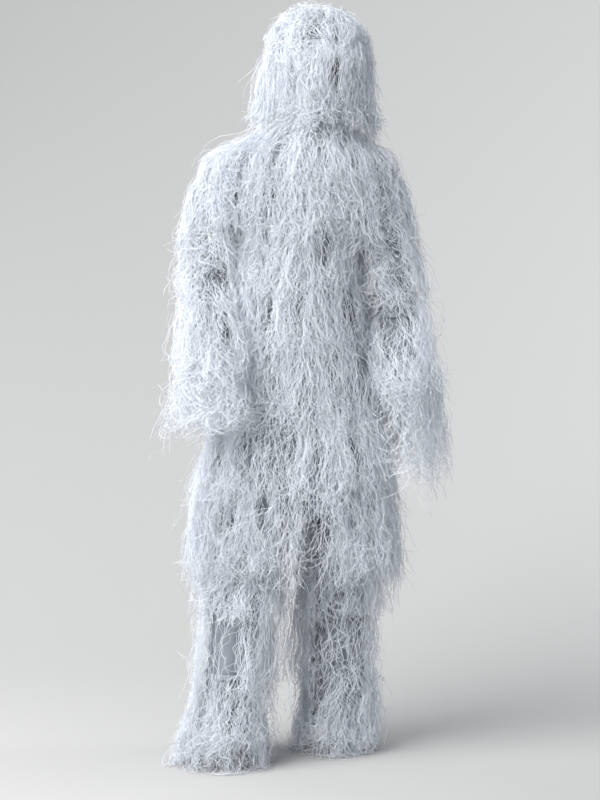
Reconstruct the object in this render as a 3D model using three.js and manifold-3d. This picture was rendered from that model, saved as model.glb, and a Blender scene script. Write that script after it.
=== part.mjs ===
// Snow ghillie suit in its worn pose: a hooded jacket and trousers with tiers of hanging thread.
// Millimetres, +Z up, the front faces -Y, and the origin is on the ground under the wearer.
import * as THREE from "three";
import { mergeVertices } from "three/addons/utils/BufferGeometryUtils.js";
import Module from "manifold-3d";

const wasm = await Module();
wasm.setup();

// ---- Heights ----
const crownZ = 1792; // top of the hood's fabric
const browZ = 1712; // where the face veil hangs from
const hoodRimZ = 1560; // lower edge of the hood
const neckZ = 1524; // top of the collar
const collarZ = 1507; // foot of the collar
const shoulderZ = 1430; // outer end of the shoulder slope
const trunkTopZ = 1426;
const trunkHemZ = 1060; // seam between the trunk panels and the skirt
const skirtHemZ = 600;
const waistbandTopZ = 1040;
const waistbandZ = 1003; // foot of the waistband
const crotchZ = 900;
const kneeZ = 480;
const ankleZ = 85;

// ---- Body sizes ----
const wall = 2.5; // fabric with its seam allowances
const seam = 3; // space left between two sewn pieces
const chestHalfWidth = 124;
const chestHalfDepth = 104;
const trunkHemHalfWidth = 140;
const shoulderSpread = 28; // how far the shoulder slope reaches past the sleeve's middle
const armGap = 7; // between the chest and a sleeve
const sleeveHalfWidth = 47;
const sleeveHalfDepth = 51;
const cuffHalfWidth = 45;
const armholeRadius = 44;
const neckHalfWidth = 68;
const neckHalfDepth = 74;
const headShiftX = 43; // the head is carried a little to one side
const headShiftY = -9;
const hoodHalfWidth = 102;
const hoodDepthRatio = 1.18;
const faceHalfWidth = 60;
const faceHalfHeight = 64;
const waistHalfWidth = 128;
const waistHalfDepth = 96;
const thighHalfWidth = 72;
const thighHalfDepth = 94;
const kneeHalfWidth = 68;
const ankleHalfWidth = 60;
const legGap = 26; // between the two thighs
const seatEase = 2; // how far the seat stands off the outer thigh
const skirtEase = 10; // how far the skirt stands off the seat
const cuffLength = 22;
const elbowReach = 58; // half the length of the soft stretch at an elbow
const kneeReach = 80; // half the length of the soft stretch at a knee

// ---- Front opening ----
const zipX = 4;
const zipWidth = 11;
const placketX = 22;
const placketWidth = 38;
const placketRise = 9; // height of the placket over the fabric
const sliderLength = 24;
const sliderWidth = 9;
const sliderRise = 6;

// ---- Threads ----
const rootRise = 11; // inner side of a jacket tier at its tape
const rootThick = 6;
const tipRise = 24; // inner side of a jacket tier at its tips
const tipThick = 18;
const limbRootRise = 1.5; // the same on sleeves and legs, where no placket lies under
const limbTipRise = 18;

// ---- Pose of the limbs: outward, forward (minus) and height of each bend ----
const arms = {
  left: { side: -1, elbow: [44, 25, 1180], wrist: [30, -95, 965], hang: 155, spread: 92 },
  right: { side: 1, elbow: [48, 15, 1150], wrist: [65, -45, 890], hang: 157, spread: 60 },
};
const legs = {
  left: { side: -1, knee: [55, -70], ankle: [93, -150] },
  right: { side: 1, knee: [18, -10], ankle: [5, 20] },
};
// Skirt hem on each side: centre x, how far its centre lies behind the leg's, reach past the leg's middle,
// reach past the thigh's depth
const skirtHem = {
  left: [-14, 16, 80, 41],
  right: [2, -5, 88, 41],
};

// ---- Places worked out from the sizes ----
const shoulderX = chestHalfWidth + armGap + sleeveHalfWidth;
const legX = legGap / 2 + thighHalfWidth;
const seatHalfWidth = legX + thighHalfWidth + seatEase;
const seatHalfDepth = thighHalfDepth + 18;
const hipHalfWidth = seatHalfWidth + skirtEase;
const hipHalfDepth = seatHalfDepth + skirtEase;
const yokeHalfWidth = shoulderX + shoulderSpread;
const hipPower = 2.7; // the skirt hangs round two legs, so its outline is squarer than an ellipse

// A shape is a list of stations from the top down: height, centre x, centre y, half-width, half-depth, and
// where the outline is squarer than an ellipse, the power of the superellipse.
const yokeShape = [
  [hoodRimZ, headShiftX - 5, headShiftY, neckHalfWidth, neckHalfDepth],
  [neckZ, headShiftX - 11, headShiftY + 4, neckHalfWidth, neckHalfDepth],
  [collarZ, headShiftX - 18, 0, neckHalfWidth + 16, neckHalfDepth + 2],
  [(collarZ + shoulderZ) / 2, 8, 0, 0.76 * yokeHalfWidth, chestHalfDepth - 12],
  [shoulderZ, 0, 0, yokeHalfWidth, chestHalfDepth - 3],
];
const trunkShape = [
  [trunkTopZ, 0, 0, chestHalfWidth, chestHalfDepth],
  [trunkHemZ + 80, -2, 0, chestHalfWidth, chestHalfDepth],
  [trunkHemZ, -4, 0, trunkHemHalfWidth, chestHalfDepth],
];
const hipStations = [
  [trunkHemZ, -4, 0, trunkHemHalfWidth + 1, chestHalfDepth],
  [crotchZ, -4, -1, hipHalfWidth, hipHalfDepth, hipPower],
  [crotchZ - 100, -6, -5, hipHalfWidth + 6, hipHalfDepth + 3, hipPower],
];
const skirtShape = { left: skirtSide("left"), right: skirtSide("right") };
const hoodShape = [
  [crownZ - 64, headShiftX, headShiftY, 0.92 * hoodHalfWidth],
  [crownZ - 112, headShiftX, headShiftY, hoodHalfWidth],
  [crownZ - 172, headShiftX, headShiftY, 0.96 * hoodHalfWidth],
  [hoodRimZ, headShiftX, headShiftY, 0.82 * hoodHalfWidth],
].map((station) => [...station, station[3] * hoodDepthRatio]);

function armShape({ side, elbow, wrist }) {
  const place = ([out, y, z], halfWidth, halfDepth) => [z, side * (shoulderX + out), y, halfWidth, halfDepth];
  return [
    place([0, 0, trunkTopZ], sleeveHalfWidth, sleeveHalfDepth),
    place(elbow, sleeveHalfWidth, sleeveHalfDepth),
    place(wrist, cuffHalfWidth, cuffHalfWidth + 2),
  ];
}

function legShape({ side, knee, ankle }) {
  const place = ([out, y], z, halfWidth, halfDepth) => [z, side * (legX + out), y, halfWidth, halfDepth];
  return [
    place([0, 0], crotchZ - 5, thighHalfWidth, thighHalfDepth),
    place(knee, kneeZ, kneeHalfWidth, kneeHalfWidth + 2),
    place(ankle, ankleZ, ankleHalfWidth, ankleHalfWidth + 2),
  ];
}

function skirtSide(name) {
  const [x, behind, outward, forward] = skirtHem[name];
  const [legAtHemX, legAtHemY] = at(legShape(legs[name]), skirtHemZ);
  const halfWidth = Math.abs(legAtHemX) + outward;
  return [...hipStations, [skirtHemZ, x, legAtHemY + behind, halfWidth, thighHalfDepth + forward, hipPower]];
}

// Centre and half-sizes of a shape at a height: straight between stations, constant past its ends.
function at(shape, z) {
  const top = shape[0];
  const foot = shape[shape.length - 1];
  if (z >= top[0]) return top.slice(1);
  if (z <= foot[0]) return foot.slice(1);
  const below = shape.findIndex((station) => station[0] <= z);
  const [high, low] = [shape[below - 1], shape[below]];
  const share = (high[0] - z) / (high[0] - low[0]);
  const value = (station, n) => station[n] ?? 2;
  return [1, 2, 3, 4, 5].map((n) => value(high, n) + share * (value(low, n) - value(high, n)));
}

// ---- Solids ----
function solidOf(geometry) {
  const bare = geometry.index ? geometry.toNonIndexed() : geometry.clone();
  bare.deleteAttribute("normal");
  bare.deleteAttribute("uv");
  const merged = mergeVertices(bare, 1e-3);
  return new wasm.Manifold(
    new wasm.Mesh({
      numProp: 3,
      vertProperties: merged.attributes.position.array,
      triVerts: new Uint32Array(merged.index.array),
    }),
  );
}

function geometryOf(solid) {
  const { vertProperties, triVerts } = solid.getMesh();
  const geometry = new THREE.BufferGeometry();
  geometry.setAttribute("position", new THREE.BufferAttribute(new Float32Array(vertProperties), 3));
  geometry.setIndex(new THREE.BufferAttribute(new Uint32Array(triVerts), 1));
  return geometry;
}

function block([x0, x1], [y0, y1], [z0, z1]) {
  const geometry = new THREE.BoxGeometry(x1 - x0, y1 - y0, z1 - z0);
  geometry.translate((x0 + x1) / 2, (y0 + y1) / 2, (z0 + z1) / 2);
  return solidOf(geometry);
}

const far = 2000; // past every piece
const everyY = [-far, far];
const everyZ = [-far, far];

// A shell around a shape. outside and inside are lists of [height, rise over the shape] from the top down.
const lathe = 1000; // radius that stands for a rise of nothing while the profile is turned
function shell(shape, outside, inside, sectors = 20) {
  const heights = shape.map((station) => station[0]);
  const filled = (line) => {
    const [top, foot] = [line[0][0], line[line.length - 1][0]];
    const between = heights.filter((z) => z < top - 1 && z > foot + 1);
    const all = [...line.map(([z]) => z), ...between.filter((z) => line.every(([own]) => Math.abs(own - z) > 1))];
    const rise = (z) => {
      const below = line.findIndex(([own]) => own <= z);
      if (below <= 0) return line[0][1];
      const [high, low] = [line[below - 1], line[below]];
      return high[1] + ((high[0] - z) / (high[0] - low[0])) * (low[1] - high[1]);
    };
    return all.sort((p, q) => q - p).map((z) => new THREE.Vector2(lathe + rise(z), z));
  };
  const profile = [...filled(outside).reverse(), ...filled(inside)];
  profile.push(profile[0].clone());
  const geometry = new THREE.LatheGeometry(profile, sectors);
  geometry.rotateX(Math.PI / 2);
  const point = geometry.attributes.position;
  for (let i = 0; i < point.count; i++) {
    const [x, y, z] = [point.getX(i), point.getY(i), point.getZ(i)];
    const rise = Math.hypot(x, y) - lathe;
    const [centreX, centreY, halfWidth, halfDepth, power = 2] = at(shape, z);
    const span = Math.pow(Math.abs(x) ** power + Math.abs(y) ** power, 1 / power);
    point.setXYZ(i, centreX + ((halfWidth + rise) * x) / span, centreY + ((halfDepth + rise) * y) / span, z);
  }
  return solidOf(geometry);
}

// The fabric itself: a shell one wall thick.
function fabric(shape, topZ, footZ, sectors) {
  return shell(shape, [[topZ, 0], [footZ, 0]], [[topZ, -wall], [footZ, -wall]], sectors);
}

// A tier of threads: close to the fabric at its tape, standing off at its tips.
function tier(shape, topZ, footZ, [innerRoot, innerTip], [outerRoot, outerTip], sectors) {
  return shell(
    shape,
    [[topZ, outerRoot], [footZ, outerTip]],
    [[topZ, innerRoot], [footZ, innerTip]],
    sectors,
  );
}

// ---- Materials ----
const material = (color, roughness, metalness = 0) =>
  new THREE.MeshStandardMaterial({ color, roughness, metalness });
const snowCloth = material(0x98a2b2, 0.75);
const liningCloth = material(0x7f8897, 0.8);
const thread = material(0xe6ebf1, 0.85);
const elastic = material(0xd2d8e0, 0.7);
const zipPlastic = material(0xc6ccd6, 0.45);

const suit = new THREE.Group();
function add(name, solid, look) {
  const mesh = new THREE.Mesh(geometryOf(solid), look);
  mesh.name = name;
  suit.add(mesh);
}

// ---- Jacket trunk ----
function armhole(side) {
  const cut = new THREE.CylinderGeometry(armholeRadius, armholeRadius, shoulderX - 90, 20);
  cut.rotateZ(Math.PI / 2);
  cut.translate((side * (shoulderX + 90)) / 2, 0, trunkTopZ - armholeRadius - 12);
  return solidOf(cut);
}

function jacketTrunk() {
  const armholes = armhole(-1).add(armhole(1));
  const trunk = fabric(trunkShape, trunkTopZ, trunkHemZ, 28).subtract(armholes);
  const zipLow = zipX - zipWidth / 2 - 0.5;
  const zipHigh = zipX + zipWidth / 2 + 0.5;
  const sideSeam = 12;
  const front = [-far, -sideSeam];
  add("jacket_back_panel", trunk.intersect(block([-far, far], [-sideSeam + seam, far], everyZ)), snowCloth);
  add("jacket_front_left_panel", trunk.intersect(block([-far, zipLow], front, everyZ)), snowCloth);
  add("jacket_front_right_panel", trunk.intersect(block([zipHigh, far], front, everyZ)), snowCloth);
  const slit = block([zipX - seam, zipX + seam], [-far, -20], [shoulderZ - 5, neckZ + 5]);
  add("jacket_yoke", fabric(yokeShape, collarZ - seam, shoulderZ, 28).subtract(slit), snowCloth);
  const collar = fabric(yokeShape, neckZ, collarZ, 20).subtract(slit);
  add("collar", collar, snowCloth);
}

function frontOpening() {
  const zipFoot = trunkHemZ + 6;
  const zipTop = trunkTopZ - 6;
  const inFront = [-far, -40];
  const across = (middle, width) => [middle - width / 2, middle + width / 2];
  const strip = (low, high, middle, width) =>
    shell(trunkShape, [[zipTop, high], [zipFoot, high]], [[zipTop, low], [zipFoot, low]], 28).intersect(
      block(across(middle, width), inFront, everyZ),
    );
  add("zip_chain", strip(-2, 0.6, zipX, zipWidth), zipPlastic);
  add("front_placket", strip(placketRise - 1.6, placketRise, placketX, placketWidth), snowCloth);
  const face = -chestHalfDepth - 1.2;
  const sliderTop = zipTop - 10;
  const body = block(across(zipX, sliderWidth), [face - 2.4, face], [sliderTop - 10, sliderTop]);
  const pull = block(
    across(zipX, sliderWidth - 3),
    [face - sliderRise + 1.4, face - 2.2],
    [sliderTop - sliderLength, sliderTop - 4],
  );
  add("zip_slider", body.add(pull), zipPlastic);
}

// ---- Jacket threads ----
function trunkTiers() {
  const tiers = [
    ["yoke", trunkTopZ - 4, trunkTopZ - 81],
    ["chest", trunkTopZ - 61, trunkHemZ + 90],
    ["waist", trunkHemZ + 125, trunkHemZ - 75],
    ["hip", trunkHemZ - 41, trunkHemZ - 256],
  ];
  const coat = [...trunkShape.slice(0, 2), ...hipStations];
  for (const [name, topZ, footZ] of tiers) {
    const ring = tier(coat, topZ, footZ, [rootRise, tipRise], [rootRise + rootThick, tipRise + tipThick], 24);
    const inner = [topZ, footZ].flatMap((z) =>
      Object.values(arms).map((arm) => {
        const [x, , halfWidth] = at(armShape(arm), z);
        return Math.abs(x) - halfWidth;
      }),
    );
    const half = Math.min(...inner) - seam;
    const open = [-half, half];
    add(`${name}_fringe_front`, ring.intersect(block(open, [-far, -30], everyZ)), thread);
    add(`${name}_fringe_back`, ring.intersect(block(open, [30, far], everyZ)), thread);
  }
  add("neck_fringe", tier(yokeShape, hoodRimZ - 10, shoulderZ + 10, [6, 8], [12, 24], 24), thread);
}

// ---- Skirt of the jacket ----
function skirt() {
  const halves = { left: [-far, -2], right: [2, far] };
  const reach = hipHalfWidth + 46; // as far as the threads hang sideways beside a cuff
  for (const [name, across] of Object.entries(halves)) {
    const shape = skirtShape[name];
    const half = block(across, everyY, everyZ);
    add(`skirt_${name}`, fabric(shape, trunkHemZ - seam, skirtHemZ, 24).intersect(half), snowCloth);
    const upperTip = skirtHemZ + 60;
    const root = crotchZ - 55;
    const foot = skirtHemZ - 130;
    const threads = shell(
      shape,
      [[root, 9], [upperTip, 38], [upperTip - 10, 28], [foot, 46]],
      [[root, 3], [skirtHemZ, 8], [foot, 24]],
      24,
    );
    const beside = block([-far, far], everyY, [-far, upperTip + 60]);
    const between = block([-reach, reach], everyY, everyZ);
    add(`skirt_fringe_${name}`, threads.intersect(half).intersect(beside.add(between)), thread);
  }
}

// ---- Hood ----
function dome(rise) {
  const points = [
    [0, hoodRimZ - 1],
    ...[...hoodShape].reverse().map(([z, , , halfWidth]) => [halfWidth + rise, z]),
    [0.72 * hoodHalfWidth + rise, crownZ - 28 + rise / 2],
    [0.4 * hoodHalfWidth + rise / 2, crownZ - 8 + rise],
    [0, crownZ + rise],
  ];
  points[1][1] = hoodRimZ - 1;
  const geometry = new THREE.LatheGeometry(points.map(([r, z]) => new THREE.Vector2(r, z)), 24);
  geometry.rotateX(Math.PI / 2);
  geometry.scale(1, hoodDepthRatio, 1);
  geometry.translate(headShiftX, headShiftY, 0);
  return solidOf(geometry);
}

function hood() {
  const faceZ = browZ - 16 - faceHalfHeight;
  const opening = new THREE.CylinderGeometry(1, 1, far, 24);
  opening.scale(faceHalfWidth, 1, faceHalfHeight);
  opening.translate(headShiftX, -far / 2 + headShiftY, faceZ);
  const below = block([-far, far], everyY, [-far, hoodRimZ]);
  const crown = dome(0).subtract(dome(-wall)).subtract(below).subtract(solidOf(opening));
  add("hood_crown", crown, snowCloth);

  const binding = 3.4; // half the thickness of the elastic around the face
  const ring = new THREE.TorusGeometry(1, 0.055, 6, 28);
  ring.rotateX(Math.PI / 2);
  const point = ring.attributes.position;
  for (let i = 0; i < point.count; i++) {
    const x = point.getX(i) * (faceHalfWidth + binding);
    const z = faceZ + point.getZ(i) * (faceHalfHeight + binding);
    const [, , halfWidth] = at(hoodShape, z);
    const depth = hoodDepthRatio * Math.sqrt(halfWidth ** 2 - x ** 2);
    point.setXYZ(i, headShiftX + x, headShiftY - depth - 6 + (point.getY(i) * binding) / 0.055, z);
  }
  add("hood_face_elastic", solidOf(ring), elastic);

  const crownTier = dome(14).subtract(dome(3)).subtract(block([-far, far], everyY, [-far, browZ + 14]));
  add("hood_crown_fringe", crownTier, thread);
  const curtain = tier(hoodShape, browZ + 10, hoodRimZ - 25, [4, 30], [10, 60], 24);
  const face = block([headShiftX - 78, headShiftX + 78], [-far, headShiftY], everyZ);
  add("hood_curtain_fringe", curtain.subtract(face), thread);
  add("neck_section", fabric(yokeShape, hoodRimZ - seam, neckZ + seam, 20), liningCloth);

  const tape = tier(hoodShape, browZ + 8, browZ - 2, [1, 1], [3, 3], 24);
  const brow = block([headShiftX - 62, headShiftX + 62], [-far, headShiftY - 30], everyZ);
  add("veil_tape", tape.intersect(brow), elastic);
  const veil = tier(hoodShape, browZ - 5, hoodRimZ - 40, [12, 20], [16, 29], 24);
  const cover = block([headShiftX - 74, headShiftX + 74], [-far, headShiftY - 20], everyZ);
  add("face_veil", veil.intersect(cover), thread);
}

// ---- Sleeves ----
function sleeve(name, arm) {
  const shape = armShape(arm);
  const elbowZ = arm.elbow[2];
  const wristZ = arm.wrist[2];
  const capFootZ = trunkTopZ - 2 * armholeRadius - 4;
  const cap = fabric(shape, trunkTopZ - 2, capFootZ, 16).subtract(armhole(arm.side));
  add(`${name}_shoulder_section`, cap, snowCloth);
  add(`${name}_upper_sleeve`, fabric(shape, capFootZ - seam, elbowZ + elbowReach, 16), snowCloth);
  const softTop = elbowZ + elbowReach - seam;
  const softFoot = elbowZ - elbowReach + seam;
  add(`${name}_elbow_section`, fabric(shape, softTop, softFoot, 16), snowCloth);
  const cuffTop = wristZ + cuffLength;
  add(`${name}_forearm_sleeve`, fabric(shape, elbowZ - elbowReach, cuffTop + seam, 16), snowCloth);
  const cuff = shell(shape, [[cuffTop, 0], [wristZ, 0]], [[cuffTop, -4], [wristZ, -4]], 16);
  add(`${name}_cuff_band`, cuff, elastic);

  const beyond = (x) => (arm.side < 0 ? [-far, -x] : [x, far]);
  const inside = (z) => Math.abs(at(shape, z)[0]) - sleeveHalfWidth;
  const threads = (topZ, footZ, tip, thick, cut) =>
    tier(shape, topZ, footZ, [limbRootRise, tip], [limbRootRise + rootThick, tip + thick], 16).intersect(
      block(beyond(Math.max(inside(topZ), inside(footZ), cut)), everyY, everyZ),
    );
  const first = threads(trunkTopZ - 6, trunkTopZ - 186, limbTipRise, tipThick, 0);
  const second = threads(trunkTopZ - 150, elbowZ - 90, limbTipRise + 4, tipThick + 2, 0);
  const third = threads(elbowZ - elbowReach - 8, wristZ - arm.hang, arm.spread - 32, 32, hipHalfWidth + 50);
  add(`${name}_sleeve_fringe_1`, first, thread);
  add(`${name}_sleeve_fringe_2`, second, thread);
  add(`${name}_sleeve_fringe_3`, third, thread);
}

// ---- Trousers ----
function trouserTop() {
  const seatShape = [
    [waistbandZ - seam, 0, 0, waistHalfWidth + 3, waistHalfDepth + 3],
    [crotchZ, 0, 0, seatHalfWidth, seatHalfDepth],
  ];
  const bandShape = [[waistbandTopZ, 0, 0, waistHalfWidth, waistHalfDepth]];
  const band = shell(
    bandShape,
    [[waistbandTopZ, 0], [waistbandZ, 0]],
    [[waistbandTopZ, -4], [waistbandZ, -4]],
    24,
  );
  add("trouser_waistband", band, elastic);
  add("trouser_seat", fabric(seatShape, waistbandZ - seam, crotchZ, 24), snowCloth);
}

function trouserLeg(name, leg) {
  const shape = legShape(leg);
  const thighTop = crotchZ - 110;
  add(`${name}_hip_section`, fabric(shape, crotchZ - 5, thighTop + seam, 18), snowCloth);
  add(`${name}_thigh`, fabric(shape, thighTop, kneeZ + kneeReach, 18), snowCloth);
  add(`${name}_knee_section`, fabric(shape, kneeZ + kneeReach - seam, kneeZ - kneeReach + seam, 18), snowCloth);
  add(`${name}_shin`, fabric(shape, kneeZ - kneeReach, ankleZ, 18), snowCloth);
  const hem = shell(shape, [[ankleZ - seam, 0], [ankleZ - 25, 0]], [[ankleZ - seam, -4], [ankleZ - 25, -4]], 18);
  add(`${name}_ankle_band`, hem, elastic);

  const ownSide = leg.side < 0 ? [-far, -3] : [3, far];
  const half = block(ownSide, everyY, everyZ);
  const root = limbRootRise + rootThick;
  const kneeRoot = skirtHemZ - 40; // just under the skirt, behind its threads
  const knee = tier(shape, kneeRoot, kneeZ - 150, [limbRootRise, limbTipRise], [root, limbTipRise + 16], 18);
  const foot = tier(shape, kneeZ - 100, 0, [limbRootRise, 22], [root, 52], 18);
  add(`${name}_knee_fringe`, knee.intersect(half), thread);
  add(`${name}_hem_fringe`, foot.intersect(half), thread);
}

jacketTrunk();
frontOpening();
trunkTiers();
skirt();
hood();
for (const [name, arm] of Object.entries(arms)) sleeve(name, arm);
trouserTop();
for (const [name, leg] of Object.entries(legs)) trouserLeg(name, leg);

export default suit;
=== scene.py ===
import math

import bpy
import numpy as np
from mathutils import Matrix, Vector


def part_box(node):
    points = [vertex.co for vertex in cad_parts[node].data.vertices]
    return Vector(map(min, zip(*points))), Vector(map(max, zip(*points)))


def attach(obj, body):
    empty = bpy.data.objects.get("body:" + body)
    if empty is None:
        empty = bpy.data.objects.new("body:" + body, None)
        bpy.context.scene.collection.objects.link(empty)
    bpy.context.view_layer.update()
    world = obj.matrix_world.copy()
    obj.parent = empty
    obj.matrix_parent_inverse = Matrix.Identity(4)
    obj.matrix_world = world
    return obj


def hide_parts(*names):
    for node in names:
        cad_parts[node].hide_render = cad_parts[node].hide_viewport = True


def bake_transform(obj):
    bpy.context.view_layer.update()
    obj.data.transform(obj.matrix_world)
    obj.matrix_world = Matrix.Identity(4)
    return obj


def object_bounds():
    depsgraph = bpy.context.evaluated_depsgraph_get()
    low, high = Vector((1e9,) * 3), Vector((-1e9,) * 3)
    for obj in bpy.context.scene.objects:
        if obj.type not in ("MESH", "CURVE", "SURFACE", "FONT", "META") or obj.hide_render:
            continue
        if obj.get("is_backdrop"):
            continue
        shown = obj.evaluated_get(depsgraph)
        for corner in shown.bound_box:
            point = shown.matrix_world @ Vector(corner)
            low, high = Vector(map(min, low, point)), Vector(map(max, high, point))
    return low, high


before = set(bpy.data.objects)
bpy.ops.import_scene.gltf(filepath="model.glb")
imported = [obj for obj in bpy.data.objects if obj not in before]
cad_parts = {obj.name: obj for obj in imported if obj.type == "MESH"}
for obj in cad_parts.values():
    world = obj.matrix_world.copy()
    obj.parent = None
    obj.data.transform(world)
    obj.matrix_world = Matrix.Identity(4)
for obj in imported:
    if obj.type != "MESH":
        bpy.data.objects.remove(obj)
cad_low, cad_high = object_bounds()

# ---- Sizes, in metres, and angles, in radians: 0 points to +X and the front is at -90 degrees ----
TAU = 2 * math.pi
FRONT = -math.pi / 2
BACK = math.pi / 2
THREAD_RADIUS = 0.00043
THREAD_STEPS = 18  # stretches along one thread
THREAD_SIDES = 3
MOST_THREADS = 1700  # in one piece
CLOTH_THICKNESS = 0.0008
TAPE = 0.006  # a tape reaches this far above and below its rows
FLOOR = 0.002  # the lowest that a thread lies


# ---- Outlines, read from the rings of the CAD nodes ----
def corners(name):
    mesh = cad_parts[name].data
    points = np.empty(len(mesh.vertices) * 3, np.float32)
    mesh.vertices.foreach_get("co", points)
    return points.reshape(-1, 3).astype(float)


RING_POINTS = 15  # a height that has this many corners is a whole ring


def rings(*names):
    """[height, lowest and highest x, lowest and highest y, x of the hindmost point] from the top down."""
    points = np.unique(np.concatenate([corners(name) for name in names]).round(4), axis=0)
    heights, counts = np.unique(points[:, 2].round(4), return_counts=True)
    found = []
    for z in heights[counts >= RING_POINTS][::-1]:
        ring = points[abs(points[:, 2] - z) < 1e-4]
        (x0, y0, _), (x1, y1, _) = ring.min(0), ring.max(0)
        found.append([z, x0, x1, y0, y1, ring[ring[:, 1].argmax(), 0]])
    return np.array(found)


def whole(rows):
    """Rings as stations: height, centre x, centre y, half-width, half-depth."""
    z, x0, x1, y0, y1, _ = rows.T
    return np.stack([z, (x0 + x1) / 2, (y0 + y1) / 2, (x1 - x0) / 2, (y1 - y0) / 2], 1)


def half(rows, side):
    """The same for a ring that is cut in two, with its outer edge on one side."""
    z, x0, x1, y0, y1, middle = rows.T
    edge = x0 if side < 0 else x1
    return np.stack([z, middle, (y0 + y1) / 2, abs(edge - middle), (y1 - y0) / 2], 1)


def smooth(t):
    t = np.clip(t, 0, 1)
    return t * t * (3 - 2 * t)


class Surface:
    """An outline swept down a part of the suit. t is the distance down its side from the top."""

    STEP = 0.004
    DROP = 0.8  # carried on straight down below the last station
    MIX = 0.5  # how wide the two halves of a skirt mix, as a share of its half-width

    def __init__(self, stations, other=None, power=2.0):
        self.power = power
        self.halves = [np.asarray(stations, float)]
        if other is not None:
            self.halves.append(np.asarray(other, float))
        top, foot = self.halves[0][0, 0], self.halves[0][-1, 0]
        z = np.arange(top, foot - self.DROP, -self.STEP)
        rows = [self.rows(part, z) for part in self.halves]
        mean = sum((r[:, 2] + r[:, 3]) / 2 for r in rows) / len(rows)
        kernel = np.ones(7) / 7
        mean = np.convolve(np.pad(mean, 3, "edge"), kernel, "valid")
        across, down = np.gradient(mean), -np.gradient(z)
        step = np.hypot(across, down)
        self.z = z
        self.t = np.concatenate([[0], np.cumsum((step[1:] + step[:-1]) / 2)])
        self.out, self.up = down / step, across / step

    @staticmethod
    def rows(part, z):
        order = part[::-1]
        return np.stack([np.interp(z, order[:, 0], order[:, n]) for n in (1, 2, 3, 4)], 1)

    def t_at(self, z):
        return np.interp(-np.asarray(z, float), -self.z, self.t)

    def place(self, angle, z):
        """Centre x, centre y, half-width and half-depth at a height, on the side that the angle points to."""
        rows = self.rows(self.halves[0], z.ravel())
        if len(self.halves) == 2:
            share = smooth((np.cos(angle.ravel()) / self.MIX + 1) / 2)[:, None]
            rows = rows * (1 - share) + self.rows(self.halves[1], z.ravel()) * share
        return [column.reshape(z.shape) for column in rows.T]

    def point(self, angle, t, rise, root_z=None):
        """Points on the surface, that far out from it. With root_z a thread hangs straight down from that height
        where the limb slants away from it, and lies along the limb where it slants towards it."""
        angle, t, rise = np.broadcast_arrays(angle, t, rise)
        z = np.interp(t, self.t, self.z)
        out, up = np.interp(t, self.t, self.out), np.interp(t, self.t, self.up)
        x, y, wide, deep = self.place(angle, z)
        cos, sin = np.cos(angle), np.sin(angle)
        if root_z is not None:
            x0, y0, _, _ = self.place(angle, np.broadcast_to(root_z, angle.shape))
            dx, dy = x - x0, y - y0
            towards = (cos * dx + sin * dy) / (np.hypot(dx, dy) + 0.004)
            share = smooth((towards + 0.45) / 0.6)
            x, y = x0 + share * dx, y0 + share * dy
        span = (abs(cos) ** self.power + abs(sin) ** self.power) ** (1 / self.power)
        return np.stack(
            [x + (wide + rise * out) * cos / span, y + (deep + rise * out) * sin / span, z + rise * up], -1
        )

    def along(self, z, count=720):
        """Angles round the ring at a height, and the distance round it to each."""
        angle = np.linspace(-math.pi, math.pi, count + 1)
        line = self.point(angle, self.t_at(z), 0.0)
        return angle, np.concatenate([[0], np.cumsum(np.linalg.norm(np.diff(line, axis=0), axis=1))])


def joined(*parts):
    return np.concatenate(parts)


TRUNK_PANELS = ("jacket_back_panel", "jacket_front_left_panel", "jacket_front_right_panel")
yoke_rings = whole(rings("neck_section", "collar", "jacket_yoke"))
trunk_rings = whole(rings(*TRUNK_PANELS))
skirt_rings = {side: half(rings(f"skirt_{side}"), sign) for side, sign in (("left", -1), ("right", 1))}
SLEEVE_NODES = ("shoulder_section", "upper_sleeve", "elbow_section", "forearm_sleeve", "cuff_band")
LEG_NODES = ("hip_section", "thigh", "knee_section", "shin", "ankle_band")
sleeve_rings = {s: whole(rings(*[f"{s}_{n}" for n in SLEEVE_NODES])) for s in ("left", "right")}
leg_rings = {s: whole(rings(*[f"{s}_{n}" for n in LEG_NODES])) for s in ("left", "right")}


def hood_stations():
    rows = rings("hood_crown")
    z, x0, x1, _, back, _ = rows.T
    dome = whole(rows[:3])  # above the opening for the face
    centre, ratio = dome[:, 2].mean(), (dome[:, 4] / dome[:, 3]).mean()
    wide = (x1 - x0) / 2
    top = [[corners("hood_crown")[:, 2].max(), dome[0, 1], centre, 0.004, 0.004]]
    return np.concatenate([top, np.stack([z, (x0 + x1) / 2, z * 0 + centre, wide, wide * ratio], 1)])


hood_rings = hood_stations()
shoulder_z = yoke_rings[-1, 0]
cape_low = [shoulder_z - 0.13, 0, 0, yoke_rings[-1, 3] + 0.03, trunk_rings[0, 4] + 0.002]
surfaces = {
    "hood": Surface(hood_rings),
    "cape": Surface(joined(yoke_rings, [cape_low])),
    "yoke": Surface(yoke_rings),
    "trunk": Surface(trunk_rings),
    "skirt": Surface(
        joined(trunk_rings[-1:], skirt_rings["left"]), joined(trunk_rings[-1:], skirt_rings["right"]), power=2.5
    ),
}
for side in ("left", "right"):
    surfaces[f"{side}_sleeve"] = Surface(sleeve_rings[side])
    surfaces[f"{side}_leg"] = Surface(leg_rings[side])


ZIP_AT = FRONT + 0.032
PLACKET_AT = FRONT + 0.18
PLACKET_RISE = 0.009


def facing(middle, width):
    """True for angles within that many radians of a direction."""
    return lambda angle: abs((angle - middle + math.pi) % TAU - math.pi) < width


def side_of(sign):
    return lambda angle: np.cos(angle) * sign > 0


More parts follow.
